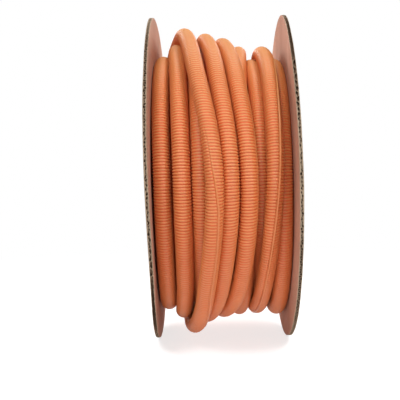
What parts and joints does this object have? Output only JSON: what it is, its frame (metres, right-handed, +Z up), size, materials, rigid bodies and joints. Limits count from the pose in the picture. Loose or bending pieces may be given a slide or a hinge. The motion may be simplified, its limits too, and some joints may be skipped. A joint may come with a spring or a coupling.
{
  "type": "reel of split corrugated conduit",
  "caption": "Split corrugated conduit wound loosely on a paper core tube between two corrugated board flanges, standing on its rims.",
  "frame": {"origin": "on the floor, under the middle of the reel", "axes": "+X along the reel's axle line, from the left flange to the right one; +Z up; -Y is the front"},
  "size_m": [0.1322, 0.32, 0.32],
  "materials": {
    "conduit": "satin orange polyethylene",
    "paper_tube": "matte wound paper",
    "corrugated_board": "matte kraft liner"
  },
  "bodies": {
    "root": {"conduit": "conduit", "conduit_end": "conduit", "conduit_inner_layers": "conduit", "core_tube": "paper_tube", "flange_left": "corrugated_board", "flange_right": "corrugated_board"}
  },
  "joints": []
}
